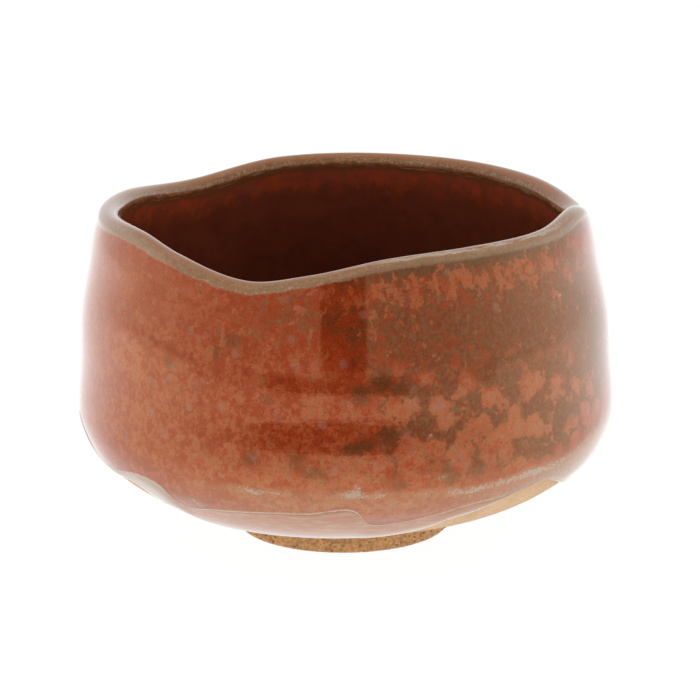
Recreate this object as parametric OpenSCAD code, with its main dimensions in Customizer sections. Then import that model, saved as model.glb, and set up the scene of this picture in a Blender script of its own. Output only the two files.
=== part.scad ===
// Matcha bowl: thrown stoneware with a wavy lip, a low foot ring and a thick red iron glaze.
// Millimetres, +Z up. The origin is the centre of the foot ring, on the surface the bowl stands on.
// Angles run anticlockwise from +X seen from above, and the front of the bowl is at 270 degrees.

/* [Clay body] */
// Radius of the clay at its widest point
widest_r = 60.5; // [57:0.1:66]
// Radius of the hip that turns the wall into the underside
hip_r = 16.3; // [13:0.1:18]
// Angle that the hip turns through before the flatter underside takes over
hip_turn = 47.5; // [40:0.5:52]
// Radius of the inward bow of the wall above the hip
wall_bow = 177.5; // [150:0.5:260]
// Thickness of the wall where the inside is widest
wall_t = 4.6; // [3.8:0.1:5.5]
// Thickness of the clay at the lip
lip_t = 3.4; // [2.5:0.1:4]
// Extra thickness of the lip at its left and right ends
lip_swell = 1; // [0:0.1:1.5]
// Sideways slump of the hip after throwing
slump = 0.5; // [0:0.1:0.8]

/* [Rim] */
// Mean height of the glazed rim
rim_h = 75; // [72:0.5:82]
// Share of the rim's full wave, where 0 is a level rim
rim_wave = 1; // [0:0.05:1.1]

/* [Inside] */
// Thickness of the floor above the foot
floor_t = 6; // [5:0.1:7]
// Radius of the shallow dish of the floor
dish_r = 119.5; // [100:0.5:160]
// Radius of the turn from the inner wall to the floor
inner_hip_r = 16.5; // [14:0.1:20]
// Radius of the tea hollow in the middle of the floor
hollow_r = 17; // [12:0.5:22]
// Depth of the tea hollow
hollow_d = 1.2; // [0:0.1:1.8]

/* [Throwing rings] */
// Height of the rings that the fingers leave on the wall
ring_d = 0.2; // [0:0.02:0.5]
// Distance from one ring to the next
ring_step = 21.5; // [14:0.5:30]

/* [Trimmed facet] */
// Depth of the flat that the trimming knife left on the lower left of the hip
facet_d = 0.75; // [0:0.05:1]

/* [Foot ring] */
// Height of the foot ring
foot_h = 7.1; // [5:0.1:10]
// Outer radius of the foot ring where it is luted to the body
foot_top_r = 27; // [24:0.5:30]
// Outer radius of the foot ring where it stands
foot_r = 24.5; // [22:0.1:26]
// Width of the standing face and its eased edges
foot_w = 7; // [5:0.1:9]
// Width of the eased edges of the standing face
foot_ease = 0.6; // [0.3:0.1:1]
// Flare of the inner wall of the foot ring
foot_flare = 1.5; // [0:0.1:3]
// Rise of the trimmed recess inside the foot ring
recess_d = 0.9; // [0.3:0.1:1.5]
// Height of the trimming nub in the middle of the recess
nub_h = 1.6; // [0:0.1:2.5]

/* [Glaze] */
// Thickness of the glaze on the walls
glaze_t = 0.5; // [0.3:0.05:0.8]
// Share of the glaze that has run off the crest of the lip
lip_thinning = 0.3; // [0:0.05:0.5]
// Extra glaze that has pooled in the tea hollow
pool_t = 0.6; // [0:0.1:0.9]
// Height of the iron band on the outside, below the turn of the lip
band_out = 1.4; // [1:0.1:6]
// Height of the iron band on the inside, below the turn of the lip
band_in = 0.6; // [0.5:0.1:4]
// Swell of the thick roll at the front edge of the glaze
roll_t = 0.7; // [0:0.05:0.9]
// Swell of the rest of the lower edge
bead_t = 0.2; // [0:0.05:0.4]

/* [Hidden] */
sectors = 60;
$fn = 96;

clay_color = [0.80, 0.60, 0.42];
foot_color = [0.60, 0.41, 0.20];
outside_color = [0.62, 0.22, 0.11];
inside_color = [0.25, 0.06, 0.03];
lip_color = [0.50, 0.36, 0.29];
roll_color = [0.74, 0.52, 0.47];

// Rise of the rim over its mean height, as [angle, rise]
rim_rise = [
    [8, -1], [35, 1], [65, 2], [106, 1.5], [132, -2], [160, 0], [190, 1], [213, 1.5], [228, -1],
    [248, -4.5], [262, -2.5], [280, 1], [300, 2], [325, 2], [346, 3]
];
// Lower edge of the glaze, as [angle, distance from the foot along the clay]
glaze_edge = [
    [0, 27], [40, 24], [80, 20], [120, 22], [150, 30], [175, 40.5], [186, 42], [190, 42.2], [194, 39.2],
    [197, 35.5], [200, 33.4], [204, 33], [211, 33.2], [215, 31.4], [217.5, 28.4], [223, 25], [228, 20.5],
    [236, 16], [270, 16], [283, 19], [290, 23], [295, 27.8], [300, 30], [304, 32.2], [309, 34.8],
    [313, 35.6], [318, 36.4], [324, 34], [333, 30]
];
// Top of the roll along that edge, in the same way
roll_top = [
    [0, 29.5], [40, 26.5], [80, 22.5], [120, 24.5], [150, 32.5], [175, 42.3], [186, 43.7], [190, 43.9],
    [194, 41.2], [197, 37.8], [200, 36.3], [204, 35.8], [210, 35.4], [215, 36.4], [219, 37.2], [225, 36.9],
    [227.6, 35.3], [229.2, 31.5], [231.5, 29.5], [240, 31.5], [255, 33.5], [263, 34], [270, 35.5],
    [273, 34.5], [276, 29], [283, 29.5], [294, 33], [298, 34.3], [304, 34.9], [307, 35.5], [311, 36.5],
    [317, 37.3], [324, 35.2], [333, 31.8]
];
// Direction in which the glaze has run thickest
roll_angle = 262;

// The underside leaves the foot level and meets the hip in one line
under_r = hip_r + (widest_r - hip_r - foot_top_r) / cos(hip_turn);
under_z = foot_h + under_r;
widest_z = under_z - (under_r - hip_r) * sin(hip_turn);
under_len = under_r * (90 - hip_turn) * PI / 180;
hip_len = hip_r * hip_turn * PI / 180;
below_len = under_len + hip_len;

// The trimmed facet faces outwards and down, and its depth is measured from the round hip
facet_angle = 217;
facet_tilt = 43;
facet_out = [cos(facet_angle) * cos(facet_tilt), sin(facet_angle) * cos(facet_tilt), -sin(facet_tilt)];
facet_reach = (widest_r - hip_r) * cos(facet_tilt) + hip_r - widest_z * sin(facet_tilt);

// The floor is a dish that meets the turn of the inner wall in one line
inner_r = widest_r - wall_t;
dish_z = foot_h + floor_t + dish_r;
inner_z = dish_z - sqrt(pow(dish_r - inner_hip_r, 2) - pow(inner_r - inner_hip_r, 2));
dish_turn = atan2(dish_z - inner_z, inner_r - inner_hip_r);
inner_hip_len = inner_hip_r * dish_turn * PI / 180;
floor_len = inner_hip_len + dish_r * (90 - dish_turn) * PI / 180;

// The inner wall bows in just enough to leave the lip its thickness
lip_in_r = wall_r(rim_h) - lip_t;
inner_sag = inner_r - lip_in_r;
inner_bow = (pow(rim_h - inner_z, 2) + pow(inner_sag, 2)) / (2 * inner_sag);
swell_reach = 18;
lip_lean = asin((rim_h - widest_z) / wall_bow);
lip_half = lip_t / 2;

foot_in_r = foot_r - foot_w;
foot_in_top_r = foot_in_r - foot_flare;
nub_r = 5;
recess_radii = [nub_r / 2, nub_r, foot_in_top_r * 0.7, foot_in_top_r];

// The path over the clay, by whole numbers: 0 the foot, 1 the widest point, 2 and 3 the outer and
// inner turns of the lip, 4 the turn of the inner wall, 5 the middle of the floor.
FOOT = 0;
WIDEST = 1;
LIP_OUT = 2;
LIP_IN = 3;
INNER_HIP = 4;
FLOOR = 5;
// Places on the path between which the throwing rings and the slump come in and die away
ring_places = [0.75, 1, 1.8, 2];
slump_places = [0.2, 0.9, 1.1, 1.9];
// Rings of points in each stretch of the path between the limits that limits() gives
steps = [3, 4, 6, 6, 1, 4, 1, 5, 6];
BARE = 0;
ROLL = 1;
OUTSIDE = [2, 3];
LIP = [4, 5, 6];
INSIDE = [7, 8];

function ease(x, from, to) = let (t = max(0, min(1, (x - from) / (to - from)))) t * t * (3 - 2 * t);
function within(p, places) = ease(p, places[0], places[1]) * (1 - ease(p, places[2], places[3]));

// Smooth closed curve through [angle, value] points
function turned(list, i) = let (n = len(list), k = (i + n) % n) list[k] + [360 * floor(i / n), 0];
function span(list, a, i = 0) =
    i == len(list) - 1 || a < list[i + 1][0] ? i : span(list, a, i + 1);
function around(list, angle) =
    let (
        a = angle < list[0][0] ? angle + 360 : angle,
        i = span(list, a),
        k0 = turned(list, i - 1),
        k1 = turned(list, i),
        k2 = turned(list, i + 1),
        k3 = turned(list, i + 2),
        w = k2[0] - k1[0],
        m1 = w * (k2[1] - k0[1]) / (k2[0] - k0[0]),
        m2 = w * (k3[1] - k1[1]) / (k3[0] - k1[0]),
        t = (a - k1[0]) / w
    )
    k1[1] + t * (m1 + t * (3 * (k2[1] - k1[1]) - 2 * m1 - m2 + t * (2 * (k1[1] - k2[1]) + m1 + m2)));

function crest(a) = rim_h + rim_wave * around(rim_rise, a);
function lip_out_z(a) = crest(a) - glaze_t - lip_half * (1 + sin(lip_lean));
function lip_in_z(a) = lip_out_z(a) - lip_t * sin(lip_lean);

function wall_r(z) = widest_r - wall_bow + sqrt(pow(wall_bow, 2) - pow(z - widest_z, 2));
function inner_wall_r(a, z) =
    inner_r - inner_bow + sqrt(pow(inner_bow, 2) - pow(z - inner_z, 2))
    - lip_swell * pow(cos(a), 2) * ease(z, lip_in_z(a) - swell_reach, lip_in_z(a));

// Each piece of the section gives [radius, height, direction of the surface's normal]
function below(t) =
    let (s = t * below_len, u = 90 - s / under_r * 180 / PI, h = (below_len - s) / hip_r * 180 / PI)
    s < under_len
        ? [foot_top_r + under_r * cos(u), under_z - under_r * sin(u), -u]
        : [widest_r - hip_r + hip_r * cos(h), widest_z - hip_r * sin(h), -h];
function wall(a, t) =
    let (z = widest_z + t * (lip_out_z(a) - widest_z))
    [wall_r(z), z, asin((z - widest_z) / wall_bow)];
function lip(a, t) =
    let (
        outer = [wall_r(lip_out_z(a)), lip_out_z(a)],
        inner = [inner_wall_r(a, lip_in_z(a)), lip_in_z(a)],
        middle = (outer + inner) / 2,
        across = outer - inner,
        turn = atan2(across[1], across[0]) + 180 * t,
        r = norm(across) / 2
    )
    [middle[0] + r * cos(turn), middle[1] + r * sin(turn), turn];
function inner_wall(a, t) =
    let (z = lip_in_z(a) + t * (inner_z - lip_in_z(a)))
    [inner_wall_r(a, z), z, 180 + asin((z - inner_z) / inner_bow)];
function bowl_floor(t) =
    let (
        s = t * floor_len,
        h = s / inner_hip_r * 180 / PI,
        d = dish_turn + (s - inner_hip_len) / dish_r * 180 / PI,
        r = dish_r * cos(d),
        hollow = r < hollow_r ? hollow_d * (1 + cos(180 * r / hollow_r)) / 2 : 0
    )
    s < inner_hip_len
        ? [inner_r - inner_hip_r + inner_hip_r * cos(h), inner_z - inner_hip_r * sin(h), 180 - h]
        : [r, dish_z - dish_r * sin(d) - hollow, 180 - d];
function section(a, p) =
    p <= WIDEST ? below(p)
    : p <= LIP_OUT ? wall(a, p - WIDEST)
    : p <= LIP_IN ? lip(a, p - LIP_OUT)
    : p <= INNER_HIP ? inner_wall(a, p - LIP_IN)
    : bowl_floor(p - INNER_HIP);

// Point at an angle and a place on the path, lifted off the clay by the thickness of the glaze
function ring_at(z, p) =
    ring_d * cos(360 * (z - widest_z) / ring_step) * within(p, ring_places);
function slump_at(a, p) = slump * cos(a) * within(p, slump_places);
function trimmed(point, lift) =
    let (past = max(0, point * facet_out - (facet_reach - facet_d + lift)))
    point - past * facet_out;
function skin(a, p, lift) =
    let (
        s = section(a, p),
        out = ring_at(s[1], p) + lift,
        r = s[0] + out * cos(s[2]) + slump_at(a, p)
    )
    trimmed([r * cos(a), r * sin(a), s[1] + out * sin(s[2])], lift);

// Where one surface of the bowl ends and the next begins. The roll stays under the widest point.
function limits(a) =
    [
        FOOT, min(0.95, around(glaze_edge, a) / below_len),
        min(0.99, around(roll_top, a) / below_len), WIDEST,
        LIP_OUT - band_out / (lip_out_z(a) - widest_z), LIP_OUT, LIP_IN,
        LIP_IN + band_in / (lip_in_z(a) - inner_z), INNER_HIP, FLOOR
    ];

// Thickness of the glaze at a share t of one stretch of the path
function roll_swell(a) = bead_t + (roll_t - bead_t) * pow(max(0, cos(a - roll_angle)), 3);
function glaze(a, k, t) =
    k == ROLL ? glaze_t * min(1, t * steps[ROLL]) + roll_swell(a) * sin(180 * t)
    : k == LIP[1] ? glaze_t * (1 - lip_thinning * sin(180 * t))
    : k == INSIDE[1] ? glaze_t + pool_t * ease(t, 0.5, 1)
    : glaze_t;

// Rings of points over some stretches of the path, bare clay or glazed
angles = [for (j = [0 : sectors - 1]) 360 * j / sectors];
stops = [for (a = angles) limits(a)];
function ring(k, i, glazed) =
    let (t = i / steps[k])
    [
        for (j = [0 : sectors - 1])
            let (p = stops[j][k] + t * (stops[j][k + 1] - stops[j][k]))
            skin(angles[j], p, glazed ? glaze(angles[j], k, t) : 0)
    ];
function rings(stretches, glazed) =
    [
        for (k = stretches)
            let (first = k == stretches[0] ? 0 : 1, last = k == INSIDE[1] ? steps[k] - 1 : steps[k])
            for (i = [first : last]) ring(k, i, glazed)
    ];
function reversed(list) = [for (i = [len(list) - 1 : -1 : 0]) list[i]];
function floor_middle(glazed) = skin(0, FLOOR, glazed ? glaze_t + pool_t : 0);

// Closed skin over rings of points. The last ring joins the first, or each end closes on a point.
module loft(rows, ends = []) {
    n = sectors;
    looped = len(ends) == 0;
    last = len(rows) - 1;
    tip = len(rows) * n;
    sides = [
        for (i = [0 : looped ? last : last - 1]) for (j = [0 : n - 1])
            let (a = i * n + j, b = i * n + (j + 1) % n, up = (i == last ? -last : 1) * n)
            each [[a, a + up, b + up], [a, b + up, b]]
    ];
    caps = looped ? [] : [
        for (j = [0 : n - 1]) let (k = (j + 1) % n)
            each [[tip, j, k], [tip + 1, last * n + k, last * n + j]]
    ];
    polyhedron(points = concat([for (row = rows) each row], ends), faces = concat(sides, caps));
}

// Flat seat for the foot ring and the trimmed recess within it
function recess_z(r) =
    foot_h + recess_d * (1 - pow(r / foot_in_top_r, 4))
    - (r < nub_r ? (recess_d + nub_h) * (1 + cos(180 * r / nub_r)) / 2 : 0);
function level(r, z) = [for (a = angles) [r * cos(a), r * sin(a), z]];

module clay_body() {
    recess = [for (r = recess_radii) level(r, recess_z(r))];
    color(clay_color)
        loft(
            concat(recess, rings([BARE, ROLL, each OUTSIDE, each LIP, each INSIDE], false)),
            [[0, 0, recess_z(0)], floor_middle(false)]
        );
}

module foot_ring() {
    color(foot_color)
        rotate_extrude()
            polygon([
                [foot_in_r + foot_ease, 0], [foot_r - foot_ease, 0], [foot_r, foot_ease],
                [foot_top_r, foot_h], [foot_in_top_r, foot_h], [foot_in_r, foot_ease]
            ]);
}

module outside_glaze() {
    color(outside_color)
        loft(concat(rings(OUTSIDE, true), reversed(rings(OUTSIDE, false))));
}

module inside_glaze() {
    color(inside_color)
        loft(
            concat(reversed(rings(INSIDE, false)), rings(INSIDE, true)),
            [floor_middle(false), floor_middle(true)]
        );
}

module lip_glaze() {
    color(lip_color)
        loft(concat(rings(LIP, true), reversed(rings(LIP, false))));
}

module glaze_roll() {
    over = rings([ROLL], true);
    under = rings([ROLL], false);
    color(roll_color)
        loft(concat(over, [for (i = [steps[ROLL] : -1 : 1]) under[i]]));
}

clay_body();
foot_ring();
outside_glaze();
inside_glaze();
lip_glaze();
glaze_roll();
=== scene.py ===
"""Matcha bowl: thrown stoneware with a wavy lip, a low foot ring and a mottled red iron glaze.

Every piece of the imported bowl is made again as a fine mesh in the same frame, in metres, and the bowl
is set on a pale floor under soft light. Angles run anticlockwise from +X seen from above, and the
front of the bowl is at 270 degrees.
"""

import math

import bpy
import numpy as np
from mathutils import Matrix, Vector


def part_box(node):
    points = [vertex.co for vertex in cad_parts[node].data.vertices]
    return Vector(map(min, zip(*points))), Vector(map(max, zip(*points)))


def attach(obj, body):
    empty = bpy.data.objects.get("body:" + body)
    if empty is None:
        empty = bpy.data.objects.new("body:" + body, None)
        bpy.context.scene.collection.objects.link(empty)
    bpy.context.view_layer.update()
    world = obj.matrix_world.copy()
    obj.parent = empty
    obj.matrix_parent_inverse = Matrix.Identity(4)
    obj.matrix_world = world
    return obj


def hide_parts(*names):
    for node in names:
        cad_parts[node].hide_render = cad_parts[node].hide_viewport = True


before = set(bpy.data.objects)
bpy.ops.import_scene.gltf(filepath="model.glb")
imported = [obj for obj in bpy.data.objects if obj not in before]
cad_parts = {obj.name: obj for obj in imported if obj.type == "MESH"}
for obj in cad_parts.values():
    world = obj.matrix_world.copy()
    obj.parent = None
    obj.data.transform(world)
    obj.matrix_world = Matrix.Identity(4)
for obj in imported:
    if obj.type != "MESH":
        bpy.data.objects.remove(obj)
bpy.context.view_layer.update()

bl_info = {
    "name": "Matcha Bowl",
    "version": (1, 0, 0),
    "blender": (4, 5, 0),
    "location": "3D View > Sidebar > Matcha Bowl",
    "description": "Makes a thrown tea bowl with its clay, its foot and its coats of glaze",
    "category": "Add Mesh",
}

_, FOOT_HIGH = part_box("foot_ring")

# Rise of the rim over its mean height, as (degrees, metres)
RIM_RISE = [
    (8, -0.001), (35, 0.001), (65, 0.002), (106, 0.0015), (132, -0.002), (160, 0), (190, 0.001),
    (213, 0.0015), (228, -0.001), (248, -0.0045), (262, -0.0025), (280, 0.001), (300, 0.002),
    (325, 0.002), (346, 0.003),
]
# Lower edge of the glaze, as (degrees, metres from the foot along the clay)
GLAZE_EDGE = [
    (0, 0.027), (40, 0.024), (80, 0.02), (120, 0.022), (150, 0.03), (175, 0.0405), (186, 0.042),
    (190, 0.0422), (194, 0.0392), (197, 0.0355), (200, 0.0334), (204, 0.033), (211, 0.0332),
    (215, 0.0314), (217.5, 0.0284), (223, 0.025), (228, 0.0205), (236, 0.016), (270, 0.016), (283, 0.019),
    (290, 0.023), (295, 0.0278), (300, 0.03), (304, 0.0322), (309, 0.0348), (313, 0.0356), (318, 0.0364),
    (324, 0.034), (333, 0.03),
]
# Top of the roll along that edge, in the same way
ROLL_TOP = [
    (0, 0.0295), (40, 0.0265), (80, 0.0225), (120, 0.0245), (150, 0.0325), (175, 0.0423), (186, 0.0437),
    (190, 0.0439), (194, 0.0412), (197, 0.0378), (200, 0.0363), (204, 0.0358), (210, 0.0354),
    (215, 0.0364), (219, 0.0372), (225, 0.0369), (227.6, 0.0353), (229.2, 0.0315), (231.5, 0.0295),
    (240, 0.0315), (255, 0.0335), (263, 0.034), (270, 0.0355), (273, 0.0345), (276, 0.029), (283, 0.0295),
    (294, 0.033), (298, 0.0343), (304, 0.0349), (307, 0.0355), (311, 0.0365), (317, 0.0373),
    (324, 0.0352), (333, 0.0318),
]
# Height of the thin crawled line along the turn of the hip, as (degrees, metres)
CRAWL_HEIGHT = [
    (180, 0.024), (200, 0.018), (228, 0.018), (234, 0.0235), (240, 0.0247), (285, 0.0247), (297, 0.0242),
    (312, 0.0253), (321, 0.0257), (329, 0.0275), (336, 0.0295), (345, 0.031),
]
# Strength of that line, as (degrees, share)
CRAWL_LINE = [
    (180, 0), (228, 0.05), (240, 0.20), (252, 0.26), (262, 0.18), (274, 0.26), (284, 0.22), (294, 0.42),
    (312, 0.52), (325, 0.40), (340, 0.15),
]
# Reach of the line up and down, and the place on the path above which nothing has crawled
CRAWL_REACH = 0.0011
CRAWL_UPTO = 1.2
# Strength of the milky glaze below the crawled line and low on the sides, as (degrees, share)
BLOOM = [
    (0, 0.4), (60, 0.2), (150, 0.3), (180, 0.6), (205, 0.85), (226, 0.85), (231, 0.12), (250, 0.2),
    (290, 0.25), (305, 0.4), (312, 0.5), (318, 0.65), (336, 0.7), (348, 0.6),
]
# Clusters of pale crawled flecks, as (degrees, height, reach round the wall, reach up the wall, amount)
CRAWL_SPOTS = [
    (250, 0.0248, 0.0022, 0.0008, 0.22), (252.5, 0.0246, 0.0014, 0.0010, 0.22),
    (252.5, 0.0230, 0.0014, 0.0008, 0.26), (255.8, 0.0246, 0.0018, 0.0012, 0.22),
    (257, 0.0219, 0.0022, 0.0009, 0.26), (271, 0.0249, 0.0022, 0.0010, 0.26),
    (272.5, 0.0256, 0.0020, 0.0011, 0.3), (273, 0.0270, 0.0008, 0.0008, 0.38),
    (276.2, 0.0245, 0.0020, 0.0008, 0.26), (235.2, 0.0198, 0.0020, 0.0010, 0.34),
    (236.5, 0.0187, 0.0016, 0.0008, 0.34), (292.2, 0.0312, 0.0008, 0.0007, 0.45),
    (290.5, 0.0282, 0.0012, 0.0007, 0.38), (282, 0.0225, 0.0050, 0.0008, 0.22),
    (297, 0.0234, 0.0040, 0.0009, 0.30), (266, 0.0222, 0.0050, 0.0008, 0.22),
    (313.5, 0.0253, 0.0040, 0.0012, 0.25),
]
# Strength of the chipped line along the top of the roll and of the painted shadow line just under it, as
# (degrees, share)
ROLL_LINE = [
    (0, 0.3), (150, 0.3), (200, 0), (228, 0), (234, 0.9), (276, 1), (284, 0.4), (296, 0.7), (312, 0.5),
    (330, 0.1),
]
# Strength of the dark olive run just under the lip band, in the same way
LIP_RUN = [
    (0, 0.4), (60, 0.6), (120, 0.3), (200, 0), (250, 0), (266, 0.2), (276, 0.7), (284, 1), (320, 0.95),
    (334, 0.6),
]
# Where the glaze holds more iron and turns brown, as spots like the clusters above
IRON_ZONES = [
    (281, 0.062, 0.010, 0.015, 0.24), (296, 0.061, 0.013, 0.016, 0.23), (310, 0.059, 0.013, 0.016, 0.23),
    (323, 0.057, 0.013, 0.016, 0.23), (337, 0.054, 0.013, 0.016, 0.20), (258, 0.064, 0.015, 0.006, 0.20),
    (268, 0.061, 0.007, 0.008, 0.08), (250, 0.057, 0.008, 0.005, 0.05), (323, 0.036, 0.008, 0.006, 0.24),
    (306, 0.030, 0.022, 0.004, 0.16), (270, 0.029, 0.020, 0.004, 0.08), (215, 0.058, 0.025, 0.010, 0.04),
    (20, 0.050, 0.040, 0.015, 0.25), (70, 0.040, 0.030, 0.014, 0.25), (120, 0.055, 0.030, 0.012, 0.3),
    (150, 0.030, 0.025, 0.008, 0.12), (330, 0.066, 0.012, 0.008, 0.12), (345, 0.040, 0.012, 0.010, 0.2),
]
# Where the coat is thin and the mottling fades, as spots like them, and the greatest fading
CALM_ZONES = [
    (203, 0.064, 0.012, 0.009, 0.8), (218, 0.066, 0.012, 0.009, 0.8), (234, 0.066, 0.011, 0.006, 0.6),
]
MOST_CALM = 0.8
# Where the mottling gathers into rosettes, as spots like them
ROSETTES = [
    (286, 0.042, 0.010, 0.009, 0.9), (300, 0.040, 0.014, 0.010, 1), (318, 0.040, 0.014, 0.011, 0.9),
    (335, 0.038, 0.014, 0.010, 0.5), (268, 0.030, 0.014, 0.006, 0.5), (40, 0.040, 0.030, 0.012, 0.8),
    (100, 0.045, 0.025, 0.012, 0.6),
]
# Dark olive marks where iron has gathered, as spots like them
OLIVE_MARKS = [
    (269.8, 0.0347, 0.0020, 0.0012, 0.3), (272.5, 0.0358, 0.0022, 0.0014, 0.3),
    (275, 0.0364, 0.0022, 0.0016, 0.3), (278.5, 0.0368, 0.0018, 0.0028, 0.3),
    (277.8, 0.0506, 0.0019, 0.0020, 0.3), (273.5, 0.0480, 0.0018, 0.0016, 0.25),
    (272.8, 0.0461, 0.0024, 0.0016, 0.2), (271, 0.0401, 0.0021, 0.0012, 0.2),
    (272, 0.0538, 0.0010, 0.0018, 0.2), (287.8, 0.0454, 0.0034, 0.0025, 0.25),
    (284, 0.0466, 0.0021, 0.0028, 0.25), (288.2, 0.0399, 0.0025, 0.0021, 0.25),
    (297.2, 0.0432, 0.0014, 0.0025, 0.25), (301.2, 0.0472, 0.0014, 0.0018, 0.25),
    (306, 0.0445, 0.0014, 0.0025, 0.25), (309.5, 0.0434, 0.0015, 0.0018, 0.25),
    (302.2, 0.0397, 0.0014, 0.0025, 0.25), (320.8, 0.0374, 0.0050, 0.0030, 0.25),
    (316.5, 0.0320, 0.0035, 0.0038, 0.2), (297, 0.0304, 0.0022, 0.0028, 0.2),
    (292.5, 0.0280, 0.0019, 0.0019, 0.2), (280, 0.0290, 0.0016, 0.0021, 0.25),
    (281.2, 0.0268, 0.0021, 0.0015, 0.25), (263.8, 0.0299, 0.0021, 0.0012, 0.25),
    (246, 0.0576, 0.0025, 0.0014, 0.36), (242.5, 0.0543, 0.0021, 0.0015, 0.36),
    (230.8, 0.0506, 0.0018, 0.0015, 0.36), (251, 0.0325, 0.0022, 0.0018, 0.36),
    (261, 0.0335, 0.0020, 0.0011, 0.34), (254, 0.0455, 0.0019, 0.0015, 0.34),
]
# Direction that the trimmed facet faces: round the bowl, and down from level
FACET_ANGLE = math.radians(217)
FACET_TILT = math.radians(43)
# Direction in which the glaze has run thickest, and the power that keeps the run to that side
ROLL_ANGLE = math.radians(262)
ROLL_FOCUS = 3
# Radius of the wall that turns angles into distances round it
WALL_R = 0.061
# Length of path over the lip that the bands are spread along, and a millimetre
LIP_SPAN = 0.012
MM = 0.001

# The path over the clay, by whole numbers
FOOT, WIDEST, LIP_OUT, LIP_IN, INNER_HIP, FLOOR = range(6)
# Places on it where the throwing rings and the slump begin, are full, begin to fade and are gone
RING_PLACES = (0.75, 1, 1.8, 2)
SLUMP_PLACES = (0.2, 0.9, 1.1, 1.9)
# Highest places of the glaze's lower edge and of the top of the roll
EDGE_MOST = 0.95
ROLL_MOST = 0.99
# Share of the way over the floor at which the pool begins
POOL_FROM = 0.5
# Power that flattens the recess in the foot, and the power that crowds rings to the rounded edge
RECESS_POWER = 4
EDGE_CROWDING = 1.6
# Stretches of the path between the limits that Form.limits gives
BARE, ROLL = 0, 1
OUTSIDE = (2, 3)
LIP = (4, 5, 6)
INSIDE = (7, 8)
GLAZED = (ROLL, *OUTSIDE, *LIP, *INSIDE)
# Rings of points in each stretch, where it shows and where another coat hides it
FINE = (24, 26, 28, 64, 4, 24, 2, 48, 48)
COARSE = (6, 8, 10, 12, 2, 8, 2, 10, 12)
# Rings over the nub and over the rest of the recess, and points in every ring
NUB_RINGS = 8
RECESS_RINGS = 12
SECTORS = 480

# Coarseness of the clay of the body and of the foot
BODY_GRIT = 0.6
FOOT_GRIT = 1.4
# Touch of the potter's fingers, and the grains in the foot
TOUCH = {"Depth": 0.00003, "Size": 0.016}
GRIT = {"Depth": 0.0002, "Size": 0.0012, "Grain": 0.00035, "Density": 450000.0, "Seed": 5}
# Least upward part of the normal where a grain may sit, and the most that a grain is turned
GRIT_SLOPE = -0.6
FULL_SPIN = (6.28, 6.28, 6.28)

# Cards that only reflections see: place in front of the bowl, half width, height and bend
LENS_SLOT = {"y": -0.9, "half_width": 0.15, "high": 0.4}
FRONT_GAP = {"y": -0.3, "half_width": 0.3, "high": 0.055, "bend": 1.5}
CARD_POINTS = 25
# The gap's own light, its middle, and where it fades to its ends, upwards and beside the slot
GAP_LEVEL = 0.06
GAP_MIDDLE = -0.032
GAP_ENDS = (0.1, 0.2)
GAP_TOP = (0.024, 0.050)
SLOT_SIDE = (0.036, 0.048)
# Directions between which the light changes: front to back, behind the bowl, at the left and upwards
FRONT_TO_BACK = (-1.0, 0.6)
BEHIND = (-0.1, 0.5)
LEFT_SIDE = (-0.4, -0.9)
HORIZON = (-0.1, 0.06)
OVERHEAD = (0.1, 0.9)
# Distances from the bowl over which the floor changes, near it and far off
NEAR_FLOOR = (-0.05, 0.25)
FAR_FLOOR = (0.35, 1.2)
# The floor's own light, and how much dimmer reflections see it far off and at the left, and the sky there
FLOOR_LEVEL = 1.05
FAR_DIM = -0.22
FAR_LEFT_DIM = -0.15
SKY_LEFT_DIM = -0.12
# Soft lamps on both sides of the camera
LAMP_SIDE, LAMP_Y, LAMP_Z = 1, -0.5, 0.8
LAMP_SIZE = 1.0
# The camera's sensor in millimetres, and how far it sees
SENSOR_WIDTH = 36
VIEW_END = 50


def length(name, default, description):
    """A size in metres."""
    return bpy.props.FloatProperty(
        name=name, description=description, default=default, min=0, precision=5,
        subtype="DISTANCE", unit="LENGTH",
    )


def share(name, default, description):
    """A number from 0 to 1."""
    return bpy.props.FloatProperty(
        name=name, description=description, default=default, min=0, max=1, subtype="FACTOR"
    )


def colour(name, default, description):
    """A colour in linear light."""
    return bpy.props.FloatVectorProperty(
        name=name, description=description, default=default, size=3, min=0, max=1, subtype="COLOR"
    )


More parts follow.
